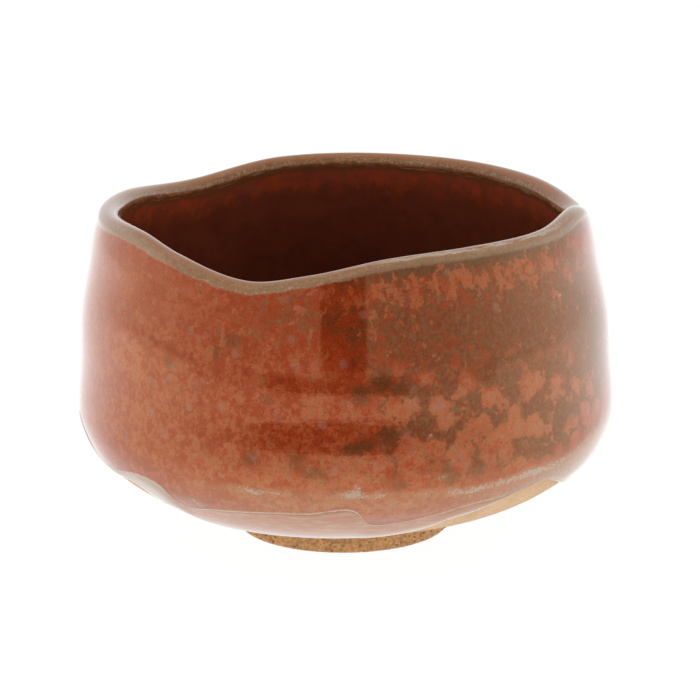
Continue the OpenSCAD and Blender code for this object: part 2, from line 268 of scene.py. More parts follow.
class BowlClay(bpy.types.PropertyGroup):
    """Sizes of the clay."""

    widest_r: length("Widest radius", 0.0605, "Radius of the clay at its widest point")
    hip_r: length("Hip radius", 0.0163, "Radius of the hip that turns the wall into the underside")
    hip_turn: bpy.props.FloatProperty(
        name="Hip turn", description="Angle that the hip turns through before the flatter underside",
        default=math.radians(47.5), subtype="ANGLE", unit="ROTATION",
    )
    wall_bow: length("Wall bow", 0.1775, "Radius of the inward bow of the wall above the hip")
    wall_t: length("Wall thickness", 0.0046, "Thickness of the wall where the inside is widest")
    lip_t: length("Lip thickness", 0.0034, "Thickness of the clay at the lip")
    lip_swell: length("Lip swell", 0.001, "Extra thickness of the lip at its left and right ends")
    swell_reach: length("Swell reach", 0.018, "Depth below the lip over which the swell dies away")
    slump: length("Slump", 0.0005, "Sideways slump of the hip after throwing")
    rim_h: length("Rim height", 0.075, "Mean height of the glazed rim")
    rim_wave: share("Rim wave", 0.97, "Share of the rim's full wave")
    floor_t: length("Floor thickness", 0.006, "Thickness of the floor above the foot")
    dish_r: length("Dish radius", 0.1195, "Radius of the shallow dish of the floor")
    inner_hip_r: length("Inner hip radius", 0.0165, "Radius of the turn from inner wall to floor")
    hollow_r: length("Hollow radius", 0.017, "Radius of the tea hollow in the middle of the floor")
    hollow_d: length("Hollow depth", 0.0012, "Depth of the tea hollow")
    ring_d: length("Throwing rings", 0.0002, "Height of the rings that the fingers leave")
    ring_step: length("Ring spacing", 0.0215, "Distance from one throwing ring to the next")
    facet_d: length("Facet depth", 0.00075, "Depth of the flat that the trimming knife left on the hip")
    foot_h: length("Foot height", FOOT_HIGH.z, "Height of the foot ring")
    foot_top_r: length("Foot top radius", FOOT_HIGH.x, "Outer radius of the foot ring at the body")
    foot_r: length("Foot radius", 0.0245, "Outer radius of the foot ring where it stands")
    foot_w: length("Foot width", 0.007, "Width of the standing face and its eased edges")
    foot_ease: length("Foot ease", 0.0006, "Width of the eased edges of the standing face")
    foot_flare: length("Foot flare", 0.0015, "Flare of the inner wall of the foot ring")
    recess_d: length("Recess rise", 0.0009, "Rise of the trimmed recess inside the foot ring")
    nub_h: length("Nub height", 0.0016, "Height of the trimming nub in the middle of the recess")
    nub_r: length("Nub radius", 0.005, "Radius of the trimming nub")
    body_colour: colour("Body clay", (0.73, 0.47, 0.265), "Bare clay of the body")
    foot_colour: colour("Foot clay", (0.56, 0.285, 0.108), "Coarse clay of the foot ring")
    speck_colour: colour("Clay specks", (0.11, 0.05, 0.02), "Iron specks and grit in the clay")


class BowlGlaze(bpy.types.PropertyGroup):
    """Thicknesses and colours of the glaze."""

    coat_t: length("Coat", 0.0005, "Thickness of the glaze on the walls")
    lip_thinning: share("Lip thinning", 0.3, "Share of the glaze that has run off the crest of the lip")
    pool_t: length("Pool", 0.0006, "Extra glaze that has pooled in the tea hollow")
    band_out: length("Outer band", 0.0014, "Height of the iron band below the outer turn of the lip")
    band_in: length("Inner band", 0.0006, "Height of the iron band below the inner turn of the lip")
    roll_t: length("Roll", 0.0007, "Swell of the thick roll at the front edge of the glaze")
    bead_t: length("Bead", 0.00019, "Swell of the rest of the lower edge")
    edge_r: length("Edge round", 0.0006, "Radius of the rounded lower edge")
    ridge_t: length("Ridge", 0.00012, "Height of the ridge along the top of the roll")
    ridge_w: length("Ridge width", 0.0005, "Reach of that ridge to either side")
    red: colour("Red", (0.32, 0.039, 0.008), "Body of the red coat")
    orange: colour("Orange", (0.41, 0.056, 0.013), "Lighter clouds and flecks of the mottling")
    coral: colour("Coral", (0.42, 0.080, 0.024), "Palest parts of the mottling")
    brown: colour("Brown", (0.155, 0.038, 0.011), "Glaze with more iron")
    moss: colour("Moss", (0.13, 0.048, 0.015), "Greener grain in the brown")
    olive: colour("Olive", (0.108, 0.034, 0.009), "Dark marks where iron has gathered")
    umber: colour("Umber", (0.085, 0.046, 0.019), "Dark run under the lip")
    ash: colour("Ash", (0.32, 0.125, 0.088), "Grey bloom in the spots and rosettes")
    cream: colour("Cream", (0.58, 0.48, 0.37), "Crawled specks along the hip and the lip")
    milky: colour("Milky", (0.52, 0.39, 0.29), "Pale glaze low on the sides")
    russet: colour("Russet", (0.39, 0.155, 0.058), "Thin glaze over the crest of the lip")
    beige: colour("Beige", (0.44, 0.27, 0.15), "Speckled lines on both sides of the crest")
    # Taupe also paints the shadow line under the ridge of the roll
    taupe: colour("Taupe", (0.30, 0.116, 0.044), "Band below the crest of the lip")
    stone: colour("Stone", (0.30, 0.150, 0.068), "Band outside the crest of the lip")
    salmon: colour("Salmon", (0.53, 0.205, 0.105), "Roll at the lower edge")
    lavender: colour("Lavender", (0.60, 0.335, 0.205), "Paler streaks and lower strip of the roll")
    dark: colour("Inside", (0.165, 0.033, 0.0145), "Dark coat inside the bowl")
    soot: colour("Inner band", (0.19, 0.054, 0.019), "Dark band inside the lip")
    sheen: colour("Sheen", (1.0, 0.22, 0.05), "Tint of the iron crystals in the glaze's reflections")
    pale_sheen: colour("Pale sheen", (1.0, 0.57, 0.25), "Tint of the reflections of finer crystals")
    side_sheen: colour("Side sheen", (1.0, 0.68, 0.36), "Tint that the reflections take on a slanting face")
    plain_sheen: colour("Plain sheen", (1.0, 0.93, 0.82), "Tint of the reflections of the lip and the roll")
    edge_sheen: colour("Edge sheen", (0.50, 0.38, 0.24), "Tint of the reflections at a grazing angle")


class BowlStage(bpy.types.PropertyGroup):
    """Camera, floor and light."""

    target: bpy.props.FloatVectorProperty(
        name="Target", description="Point that the camera looks at", default=(0.00149, 0, 0.04099),
        subtype="TRANSLATION", unit="LENGTH",
    )
    distance: length("Distance", 0.8, "Distance from the camera to its target")
    elevation: bpy.props.FloatProperty(
        name="Elevation", description="Height of the camera above the horizon, as an angle",
        default=math.radians(15), subtype="ANGLE", unit="ROTATION",
    )
    view_width: length("View width", 0.16018, "Width of the view at the target")
    floor_size: length("Floor", 12, "Side of the square floor")
    floor_colour: colour("Floor colour", (0.9, 0.9, 0.9), "Pale floor")
    floor_glow: share("Floor glow", 0.92, "Share of the floor's white that is its own light")
    floor_far: share("Far floor", 0.2, "Extra light that reflections see on the floor behind the bowl")
    sky_front: share("Front light", 0.4, "Strength of the light from the camera's side")
    sky_back: share("Back light", 1.0, "Strength of the light from behind")
    sky_top: share("Top light", 0.6, "Share of that light from straight above")
    sky_seen: share("Sky in reflections", 0.83, "Share of the light above the horizon that reflections see")
    lamp_power: bpy.props.FloatProperty(
        name="Lamp power", description="Power of each soft lamp", default=4.5, min=0, unit="POWER"
    )


def smooth_step(x, start, end):
    """Rises smoothly from 0 at start to 1 at end."""
    t = np.clip((x - start) / (end - start), 0, 1)
    return t * t * (3 - 2 * t)


def within(p, places):
    """Comes in between the first two places on the path and dies away between the last two."""
    return smooth_step(p, *places[:2]) * (1 - smooth_step(p, *places[2:]))


def around(points, angle):
    """Smooth closed curve through (degrees, value) points, at angles in radians."""
    knots = np.array(points, float)
    knots[:, 0] = np.radians(knots[:, 0])
    count = len(knots)
    turn = 2 * math.pi
    a = np.mod(angle - knots[0, 0], turn) + knots[0, 0]
    i = np.searchsorted(knots[:, 0], a, side="right") - 1
    (a0, v0), (a1, v1), (a2, v2), (a3, v3) = (
        (knots[(i + k) % count, 0] + turn * ((i + k) // count), knots[(i + k) % count, 1])
        for k in (-1, 0, 1, 2)
    )
    span = a2 - a1
    m1 = span * (v2 - v0) / (a2 - a0)
    m2 = span * (v3 - v1) / (a3 - a1)
    t = (a - a1) / span
    return v1 + t * (m1 + t * (3 * (v2 - v1) - 2 * m1 - m2 + t * (2 * (v1 - v2) + m1 + m2)))


def spread(spots, angle, height):
    """Sum of soft spots on the wall, each given as (degrees, height, reach round, reach up, amount)."""
    total = np.zeros_like(height)
    for degrees, middle, reach_round, reach_up, amount in spots:
        off = np.mod(angle - math.radians(degrees) + math.pi, 2 * math.pi) - math.pi
        far = (off * WALL_R / reach_round) ** 2 + ((height - middle) / reach_up) ** 2
        total += amount * np.exp(-far)
    return total


class Form:
    """Section of the bowl at any angle, along one path over the clay.

    By whole numbers the path is 0 at the foot, 1 at the widest point, 2 and 3 at the outer and inner
    turns of the lip, 4 at the turn of the inner wall and 5 in the middle of the floor. In the methods,
    a is the angle round the bowl, p a place on the path and t a share of one stretch of it.
    """

    def __init__(self, clay, glaze):
        self.clay = c = clay
        self.glaze = glaze
        self.under_r = c.hip_r + (c.widest_r - c.hip_r - c.foot_top_r) / math.cos(c.hip_turn)
        self.under_z = c.foot_h + self.under_r
        self.widest_z = self.under_z - (self.under_r - c.hip_r) * math.sin(c.hip_turn)
        self.under_len = self.under_r * (math.pi / 2 - c.hip_turn)
        self.below_len = self.under_len + c.hip_r * c.hip_turn
        self.inner_r = c.widest_r - c.wall_t
        self.dish_z = c.foot_h + c.floor_t + c.dish_r
        inner_run = self.inner_r - c.inner_hip_r
        self.inner_z = self.dish_z - math.sqrt((c.dish_r - c.inner_hip_r) ** 2 - inner_run**2)
        self.dish_turn = math.atan2(self.dish_z - self.inner_z, inner_run)
        self.inner_hip_len = c.inner_hip_r * self.dish_turn
        self.floor_len = self.inner_hip_len + c.dish_r * (math.pi / 2 - self.dish_turn)
        inner_sag = self.inner_r - (self.wall_r(c.rim_h) - c.lip_t)
        self.inner_bow = ((c.rim_h - self.inner_z) ** 2 + inner_sag**2) / (2 * inner_sag)
        self.lip_lean = (c.rim_h - self.widest_z) / c.wall_bow
        self.facet_out = np.array([
            math.cos(FACET_ANGLE) * math.cos(FACET_TILT), math.sin(FACET_ANGLE) * math.cos(FACET_TILT),
            -math.sin(FACET_TILT),
        ])
        self.facet_reach = (
            (c.widest_r - c.hip_r) * math.cos(FACET_TILT) + c.hip_r - self.widest_z * math.sin(FACET_TILT)
        )
        self.foot_in_r = c.foot_r - c.foot_w
        self.foot_in_top_r = self.foot_in_r - c.foot_flare

    def crest(self, a):
        return self.clay.rim_h + self.clay.rim_wave * around(RIM_RISE, a)

    def lip_out_z(self, a):
        return self.crest(a) - self.glaze.coat_t - self.clay.lip_t / 2 * (1 + self.lip_lean)

    def lip_in_z(self, a):
        return self.lip_out_z(a) - self.clay.lip_t * self.lip_lean

    def wall_r(self, z):
        c = self.clay
        return c.widest_r - c.wall_bow + np.sqrt(c.wall_bow**2 - (z - self.widest_z) ** 2)

    def inner_wall_r(self, a, z):
        top = self.lip_in_z(a)
        swell = np.cos(a) ** 2 * smooth_step(z, top - self.clay.swell_reach, top)
        bow = self.inner_bow
        return self.inner_r - bow + np.sqrt(bow**2 - (z - self.inner_z) ** 2) - self.clay.lip_swell * swell

    # Each stretch of the section gives radius, height and the direction of the surface's normal.
    def below(self, a, t):
        c = self.clay
        s = t * self.below_len
        u = math.pi / 2 - s / self.under_r
        h = (self.below_len - s) / c.hip_r
        flat = s < self.under_len
        hip_middle = c.widest_r - c.hip_r
        r = np.where(flat, c.foot_top_r + self.under_r * np.cos(u), hip_middle + c.hip_r * np.cos(h))
        z = np.where(flat, self.under_z - self.under_r * np.sin(u), self.widest_z - c.hip_r * np.sin(h))
        return r, z, np.where(flat, -u, -h)

    def wall(self, a, t):
        z = self.widest_z + t * (self.lip_out_z(a) - self.widest_z)
        return self.wall_r(z), z, np.arcsin((z - self.widest_z) / self.clay.wall_bow)

    def lip(self, a, t):
        out_r, out_z = self.wall_r(self.lip_out_z(a)), self.lip_out_z(a)
        in_r, in_z = self.inner_wall_r(a, self.lip_in_z(a)), self.lip_in_z(a)
        turn = np.arctan2(out_z - in_z, out_r - in_r) + math.pi * t
        half = np.hypot(out_r - in_r, out_z - in_z) / 2
        return (out_r + in_r) / 2 + half * np.cos(turn), (out_z + in_z) / 2 + half * np.sin(turn), turn

    def inner_wall(self, a, t):
        z = self.lip_in_z(a) + t * (self.inner_z - self.lip_in_z(a))
        return self.inner_wall_r(a, z), z, math.pi + np.arcsin((z - self.inner_z) / self.inner_bow)

    def bowl_floor(self, a, t):
        c = self.clay
        s = t * self.floor_len
        h = s / c.inner_hip_r
        d = self.dish_turn + (s - self.inner_hip_len) / c.dish_r
        dish = c.dish_r * np.cos(d)
        hollow = np.where(dish < c.hollow_r, c.hollow_d * (1 + np.cos(math.pi * dish / c.hollow_r)) / 2, 0)
        turning = s < self.inner_hip_len
        r = np.where(turning, self.inner_r - c.inner_hip_r + c.inner_hip_r * np.cos(h), dish)
        z = np.where(
            turning, self.inner_z - c.inner_hip_r * np.sin(h), self.dish_z - c.dish_r * np.sin(d) - hollow
        )
        return r, z, math.pi - np.where(turning, h, d)

    def section(self, a, p):
        stretches = (self.below, self.wall, self.lip, self.inner_wall, self.bowl_floor)
        found = [stretch(a, np.clip(p - k, 0, 1)) for k, stretch in enumerate(stretches)]
        which = [p <= k + 1 for k in range(len(stretches))]
        return [np.select(which, [np.broadcast_to(f[i], p.shape) for f in found]) for i in range(3)]

    def skin(self, a, p, lift):
        """Points at angles and places on the path, lifted off the clay by the thickness of the glaze."""
        c = self.clay
        r, z, normal = self.section(a, p)
        rings = c.ring_d * np.cos(2 * math.pi * (z - self.widest_z) / c.ring_step) * within(p, RING_PLACES)
        out = rings + lift
        r = r + out * np.cos(normal) + c.slump * np.cos(a) * within(p, SLUMP_PLACES)
        point = np.stack([r * np.cos(a), r * np.sin(a), z + out * np.sin(normal)], axis=-1)
        past = np.maximum(0, point @ self.facet_out - (self.facet_reach - c.facet_d + lift))
        return point - past[..., None] * self.facet_out

    def limits(self, a):
        """Places on the path where one surface of the bowl ends and the next begins."""
        level = np.ones_like(a)
        return [
            FOOT * level, np.minimum(EDGE_MOST, around(GLAZE_EDGE, a) / self.below_len),
            np.minimum(ROLL_MOST, around(ROLL_TOP, a) / self.below_len), WIDEST * level,
            LIP_OUT - self.glaze.band_out / (self.lip_out_z(a) - self.widest_z), LIP_OUT * level,
            LIP_IN * level, LIP_IN + self.glaze.band_in / (self.lip_in_z(a) - self.inner_z),
            INNER_HIP * level, FLOOR * level,
        ]

    def front(self, a):
        """Share of the thick run of glaze: 1 at the front, and none on the far side."""
        return np.maximum(0, np.cos(a - ROLL_ANGLE)) ** ROLL_FOCUS

    def roll_swell(self, a):
        g = self.glaze
        return g.bead_t + (g.roll_t - g.bead_t) * self.front(a)

    def thickness(self, a, k, t):
        """Thickness of the glaze at a share t of one stretch of the path."""
        g = self.glaze
        level = np.ones_like(a) * np.ones_like(t)
        if k == ROLL:
            width = around(ROLL_TOP, a) - around(GLAZE_EDGE, a)
            near_edge = 1 - np.minimum(1, t * width / g.edge_r)
            ridge = g.ridge_t * self.front(a) * np.exp(-(((1 - t) * width / g.ridge_w) ** 2))
            body = g.coat_t + self.roll_swell(a) * np.sin(math.pi * t) + ridge
            return body * np.sqrt(1 - near_edge**2)
        if k == OUTSIDE[0]:
            width = (1 - self.limits(a)[k]) * self.below_len
            return g.coat_t * level + g.ridge_t * self.front(a) * np.exp(-((t * width / g.ridge_w) ** 2))
        if k == LIP[1]:
            return g.coat_t * (level - g.lip_thinning * np.sin(math.pi * t))
        if k == INSIDE[1]:
            return g.coat_t * level + g.pool_t * smooth_step(t, POOL_FROM, 1)
        return g.coat_t * level

    def rings(self, stretches, steps, glazed):
        """Rings of points over some stretches of the path, with the place on the path of each point."""
        a = np.linspace(0, 2 * math.pi, SECTORS, endpoint=False)[None, :]
        limits = self.limits(a)
        points, places = [], []
        for k in stretches:
            t = np.linspace(0, 1, steps[k] + 1)[:, None]
            if k == ROLL and glazed:
                t = t**EDGE_CROWDING
            if k != stretches[0]:
                t = t[1:]
            if k == INSIDE[1]:
                t = t[:-1]
            p = limits[k] + t * (limits[k + 1] - limits[k])
            lift = self.thickness(a, k, t) if glazed else np.zeros_like(p)
            points.append(self.skin(a + 0 * p, p, lift))
            places.append(p)
        return np.concatenate(points), np.concatenate(places)

    def floor_middle(self, lift):
        point = self.skin(np.zeros((1, 1)), np.full((1, 1), float(FLOOR)), np.full((1, 1), lift))
        return point[0, 0]

    def recess_z(self, r):
        c = self.clay
        nub = np.where(r < c.nub_r, (c.recess_d + c.nub_h) * (1 + np.cos(math.pi * r / c.nub_r)) / 2, 0)
        return c.foot_h + c.recess_d * (1 - (r / self.foot_in_top_r) ** RECESS_POWER) - nub

    def marks(self, points, places):
        """What the glaze's materials read at each point: distances in metres and strengths of zones."""
        a = np.arctan2(points[..., 1], points[..., 0])
        z = points[..., 2]
        along = np.minimum(places, 1) * self.below_len + np.where(places > 1, z - self.widest_z, 0)
        quarter = math.pi / 4 * self.clay.lip_t
        under = np.select(
            [places <= LIP_OUT, places <= LIP_IN],
            [quarter + self.lip_out_z(a) - z, 2 * quarter * (LIP_OUT + 0.5 - places)],
            -quarter - (self.lip_in_z(a) - z),
        )
        above_crawl = z - around(CRAWL_HEIGHT, a)
        crawl = around(CRAWL_LINE, a) * np.exp(-((above_crawl / CRAWL_REACH) ** 2))
        crawl = crawl + spread(CRAWL_SPOTS, a, z)
        return {
            "above_edge": along - around(GLAZE_EDGE, a),
            "above_roll": along - around(ROLL_TOP, a),
            "under_crest": under,
            "crawl": np.where(places < CRAWL_UPTO, crawl, 0),
            "above_crawl": np.where(places < CRAWL_UPTO, above_crawl, 1),
            "bloom": around(BLOOM, a),
            "iron": spread(IRON_ZONES + OLIVE_MARKS, a, z),
            "calm": np.minimum(MOST_CALM, spread(CALM_ZONES, a, z)),
            "rosettes": np.minimum(1, spread(ROSETTES, a, z)),
            "lip_run": around(LIP_RUN, a),
            "roll_line": around(ROLL_LINE, a),
        }


def sizes():
    """The three groups of values that the panel shows."""
    scene = bpy.context.scene
    return scene.bowl_clay, scene.bowl_glaze, scene.bowl_stage


def bowl_form():
    clay, glaze, _ = sizes()
    return Form(clay, glaze)


def circles(profile):
    """Level rings of points, one for each radius and height."""
    a = np.linspace(0, 2 * math.pi, SECTORS, endpoint=False)
    return np.stack([
        np.stack([r * np.cos(a), r * np.sin(a), np.full_like(a, z)], axis=-1) for r, z in profile
    ])


def loft(name, rings, poles=(), looped=False, values=None, marked=0, sharp=()):
    """Closed mesh over rings of points. The last ring joins the first, or each end closes on a pole.

    The values belong to the rings from the marked one on.
    """
    count, sectors = rings.shape[:2]
    rows = np.arange(count if looped else count - 1)
    here = rows[:, None] * sectors + np.arange(sectors)
    up = ((rows + 1) % count)[:, None] * sectors + np.arange(sectors)
    quads = np.stack([here, np.roll(here, -1, 1), np.roll(up, -1, 1), up], axis=-1).reshape(-1, 4)
    faces = quads.tolist()
    points = rings.reshape(-1, 3)
    if len(poles):
        tip = len(points)
        ring = np.arange(sectors)
        after = np.roll(ring, -1)
        last = (count - 1) * sectors
        faces += [[tip, int(k), int(j)] for j, k in zip(ring, after)]
        faces += [[tip + 1, int(last + j), int(last + k)] for j, k in zip(ring, after)]
        points = np.concatenate([points, np.array(poles)])
    mesh = bpy.data.meshes.new(name)
    mesh.from_pydata(points.tolist(), [], faces)
    mesh.shade_smooth()
    start = marked * sectors
    for key, field in (values or {}).items():
        flat = np.zeros(len(points), np.float32)
        flat[start : start + field.size] = field.reshape(-1)
        mesh.attributes.new(key, "FLOAT", "POINT").data.foreach_set("value", flat)
    mark_sharp(mesh, sectors, sharp)
    return mesh


def mark_sharp(mesh, sectors, rows):
    """Keeps the shading crisp along some rings."""
    ends = np.zeros(len(mesh.edges) * 2, np.int32)
    mesh.edges.foreach_get("vertices", ends)
    row = ends.reshape(-1, 2) // sectors
    along = (row[:, 0] == row[:, 1]) & np.isin(row[:, 0], rows)
    mesh.attributes.new("sharp_edge", "BOOLEAN", "EDGE").data.foreach_set("value", along)


def shell(form, name, stretches):
    """Mesh of one coat of glaze: its fine outer face, and its coarse face on the clay."""
    over, places = form.rings(stretches, FINE, True)
    under, _ = form.rings(stretches, COARSE, False)
    if stretches[0] == ROLL:
        under = under[1:]
    rings = np.concatenate([over, under[::-1]])
    return loft(name, rings, looped=True, values=form.marks(over, places), sharp=(0, len(over) - 1))


class Nodes:
    """Adds nodes to a tree and links them as they are made."""

    SPACING = 180

    def __init__(self, tree):
        self.tree = tree

    def add(self, kind, inputs=None, **settings):
        node = self.tree.nodes.new(kind)
        node.location = (self.SPACING * len(self.tree.nodes), 0)
        for key, value in settings.items():
            setattr(node, key, value)
        for key, value in (inputs or {}).items():
            self.put(self.socket(node.inputs, key), value)
        return node

    @staticmethod
    def socket(sockets, key):
        if isinstance(key, int):
            return sockets[key]
        return next(s for s in sockets if s.name == key and s.enabled)

    def put(self, socket, value):
        if isinstance(value, bpy.types.NodeSocket):
            self.tree.links.new(value, socket)
        elif socket.type == "RGBA":
            socket.default_value = (*value, 1)
        else:
            socket.default_value = value

    def out(self, node, key=0):
        return self.socket(node.outputs, key)

    def here(self):
        return self.out(self.add("ShaderNodeTexCoord"), "Object")

    def value_of(self, attribute):
        return self.out(self.add("ShaderNodeAttribute", attribute_name=attribute), "Fac")

    def maths(self, operation, a, b=0.0):
        return self.out(self.add("ShaderNodeMath", {0: a, 1: b}, operation=operation))

    def stretched(self, vector, by):
        return self.out(self.add("ShaderNodeVectorMath", {0: vector, 1: by}, operation="MULTIPLY"))

    def part(self, vector, axis):
        return self.out(self.add("ShaderNodeSeparateXYZ", {"Vector": vector}), axis)

    def noise(self, vector, size, detail=3.0, roughness=0.55):
        inputs = {"Vector": vector, "Scale": 1 / size, "Detail": detail, "Roughness": roughness}
        return self.out(self.add("ShaderNodeTexNoise", inputs))

    def cells(self, vector, size):
        """Distance to the nearest of scattered points, as a share of their spacing."""
        inputs = {"Vector": vector, "Scale": 1 / size}
        return self.out(self.add("ShaderNodeTexVoronoi", inputs), "Distance")

    def rise(self, value, start, end):
        """Rises smoothly from 0 at start to 1 at end."""
        inputs = {"Value": value, "From Min": start, "From Max": end, "To Min": 0.0, "To Max": 1.0}
        node = self.add("ShaderNodeMapRange", inputs, interpolation_type="SMOOTHSTEP")
        return self.out(node)

    def fall(self, value, start, end):
        """Falls smoothly from 1 at start to 0 at end."""
        return self.less(self.rise(value, start, end))

    def near(self, value, middle, inner, outer):
        """1 within the inner distance of a middle value, and 0 beyond the outer one."""
        return self.fall(self.maths("ABSOLUTE", self.plus(value, -middle)), inner, outer)

    def mix(self, amount, a, b, kind="RGBA"):
        inputs = {"Factor": amount, "A": a, "B": b}
        return self.out(self.add("ShaderNodeMix", inputs, data_type=kind), "Result")

    def over(self, paint, layer, *amounts):
        """A layer of colour over a paint, by the product of some amounts."""
        return self.mix(self.times(*amounts), paint, layer)

    def times(self, first, *others):
        """Product of values."""
        for other in others:
            first = self.maths("MULTIPLY", first, other)
        return first

    def plus(self, *values):
        """Sum of values, each a socket or a (socket, weight) pair."""
        total = None
        for value in values:
            if isinstance(value, tuple):
                value = self.times(*value)
            total = value if total is None else self.maths("ADD", total, value)
        return total

    def less(self, value):
        return self.maths("SUBTRACT", 1.0, value)

    def ramp(self, value, stops):
        """Colour that changes along a value through (place, colour) stops."""
        node = self.add("ShaderNodeValToRGB", {"Fac": value})
        elements = node.color_ramp.elements
        for place, _ in stops[2:]:
            elements.new(place)
        for element, (place, paint) in zip(elements, stops):
            element.position = place
            element.color = (*paint, 1)
        return self.out(node, "Color")

    def shade(self, paint, by):
        """A colour made lighter or darker by a number."""
        node = self.add("ShaderNodeVectorMath", {0: paint, "Scale": by}, operation="SCALE")
        return self.out(node)


def new_material(name):
    material = bpy.data.materials.new(name)
    material.use_nodes = True
    material.node_tree.nodes.clear()
    return material, Nodes(material.node_tree)


def finish_material(nodes, paint, roughness, height, depth, **others):
    """Principled shader with a bump of some depth, and the other inputs on its own sockets."""
    bump = nodes.add("ShaderNodeBump", {"Strength": 1.0, "Distance": depth, "Height": height})
    inputs = {"Base Color": paint, "Roughness": roughness, "Normal": nodes.out(bump), **others}
    surface = nodes.add("ShaderNodeBsdfPrincipled", inputs)
    nodes.add("ShaderNodeOutputMaterial", {"Surface": nodes.out(surface)})


def mottling(n, glaze, at, grains):
    """Red coat with orange clouds, brown drifts and rosettes, and the tint of its reflections."""
    fine, fibres = grains
    rosettes = n.value_of("rosettes")
    drift = n.add("ShaderNodeTexNoise", {"Vector": at, "Scale": 350.0, "Detail": 3.0})
    moved = n.stretched(n.out(drift, "Color"), (0.0035, 0.0035, 0.0035))
    moved = n.out(n.add("ShaderNodeVectorMath", {0: at, 1: moved}, operation="ADD"))
    clouds = n.noise(moved, 0.0060, 4, 0.62)
    flakes = n.noise(n.stretched(moved, (1, 1, 0.9)), 0.0022, 5, 0.68)
    hue = n.noise(at, 0.0010, 3)
    cell = n.cells(moved, 0.0046)

    pale = n.plus((clouds, 0.6), (flakes, 1.0), (fine, 0.7), (rosettes, 0.24), -0.665)
    pale = n.mix(n.value_of("calm"), pale, 0.49, "FLOAT")
    paint = n.ramp(pale, [(0.44, glaze.red), (0.56, glaze.orange), (0.70, glaze.coral)])

    gaps = n.times(n.plus(cell, -0.42), rosettes)
    browning = n.plus(
        (flakes, 0.8), (fine, 0.5), (fibres, 0.3), gaps, (rosettes, -0.06), n.value_of("iron"), -0.3
    )
    stain = n.ramp(browning, [(0.78, glaze.brown), (1.05, glaze.olive)])
    stain = n.over(stain, glaze.moss, n.rise(hue, 0.48, 0.62), 0.6)
    ember = n.noise(at, 0.0006, 3, 0.6)
    stain = n.over(stain, glaze.red, n.rise(ember, 0.50, 0.60), 0.33)
    run = n.value_of("lip_run")
    stained = n.times(n.rise(browning, 0.61, 0.78), n.plus((run, 0.22), 0.78))
    paint = n.over(paint, stain, stained)

    under = n.value_of("under_crest")
    dark_run = n.fall(n.plus(under, (flakes, 0.006), (fibres, 0.003), -0.0045), 0.0036, 0.0066)
    dark_run = n.times(dark_run, run)
    paint = n.over(paint, glaze.umber, dark_run)

    flames = n.noise(n.stretched(moved, (1, 1, 0.8)), 0.0026, 5, 0.66)
    near_lip = n.plus((n.fall(under, 0.006, 0.016), 0.13), -0.035)
    flames = n.rise(n.plus(flames, n.times(near_lip, run), (dark_run, -0.12)), 0.55, 0.62)
    paint = n.over(paint, glaze.coral, flames, 0.8)

    crystals = n.mix(stained, pale, n.plus((hue, 0.8), 0.08), "FLOAT")
    tint = n.ramp(n.plus(crystals, (flames, 0.12)), [(0.40, glaze.sheen), (0.62, glaze.pale_sheen)])
    hearts = n.times(n.fall(cell, 0.12, 0.36), rosettes, 0.5)
    return n.over(paint, glaze.ash, hearts), tint


def blemishes(n, glaze, at, paint):
    """Bluish spots under the surface and a few pale pinholes."""
    spots = n.fall(n.cells(at, 0.0062), 0.06, 0.24)
    paint = n.over(paint, glaze.ash, spots, 0.5)
    far = n.plus(n.cells(at, 0.012), (n.noise(at, 0.0008, 1), 0.08), -0.04)
    holes = n.fall(far, 0.0, 0.05)
    return n.over(paint, glaze.cream, holes, 0.7)


def lip_bands(n, glaze, under, grains):
    """Bands that follow the lip, by the distance under its crest, with a speckled line on either side."""
    fine, grain = grains
    bands = [
        (-2.6, glaze.soot), (-2.2, glaze.taupe), (-1.4, glaze.taupe), (-1.0, glaze.russet),
        (1.3, glaze.russet), (1.7, glaze.stone),
    ]
    speckled_lines = ((-0.0017, 0.0006, 0.9), (0.0020, 0.0006, 0.45), (0.0030, 0.0004, 0.9))
    place = n.plus((under, 1 / LIP_SPAN), 0.5)
    paint = n.ramp(place, [(0.5 + mm * MM / LIP_SPAN, tone) for mm, tone in bands])
    for middle, reach, amount in speckled_lines:
        near = n.near(under, middle, reach / 3, reach)
        specks = n.times(near, n.rise(n.plus((fine, 0.4), (grain, 0.6)), 0.46, 0.60), amount)
        paint = n.over(paint, glaze.beige, specks)

    outer = n.times(n.rise(under, 0.0011, 0.0018), n.value_of("bloom"), 0.55)
    paint = n.over(paint, glaze.beige, outer)
    run = n.value_of("lip_run")
    spot = n.stretched(n.here(), (0.06, 0.06, 0))
    along = n.add("ShaderNodeCombineXYZ", {"X": under, "Y": n.part(spot, "X"), "Z": n.part(spot, "Y")})
    lines = n.noise(n.out(along), 0.0007, 3, 0.6)
    streak = n.near(under, 0.0012, 0.0001, 0.0005)
    streak = n.times(streak, run, n.rise(lines, 0.34, 0.52), 0.85)
    paint = n.over(paint, glaze.cream, streak)
    paint = n.over(paint, glaze.beige, n.rise(lines, 0.54, 0.66), 0.5)
    paint = n.over(paint, glaze.russet, n.fall(lines, 0.36, 0.46), 0.5)
    paint = n.over(paint, glaze.umber, n.rise(under, 0.0022, 0.0034), run)
    return n.shade(paint, n.plus((fine, 0.4), (grain, 0.4), 0.6))


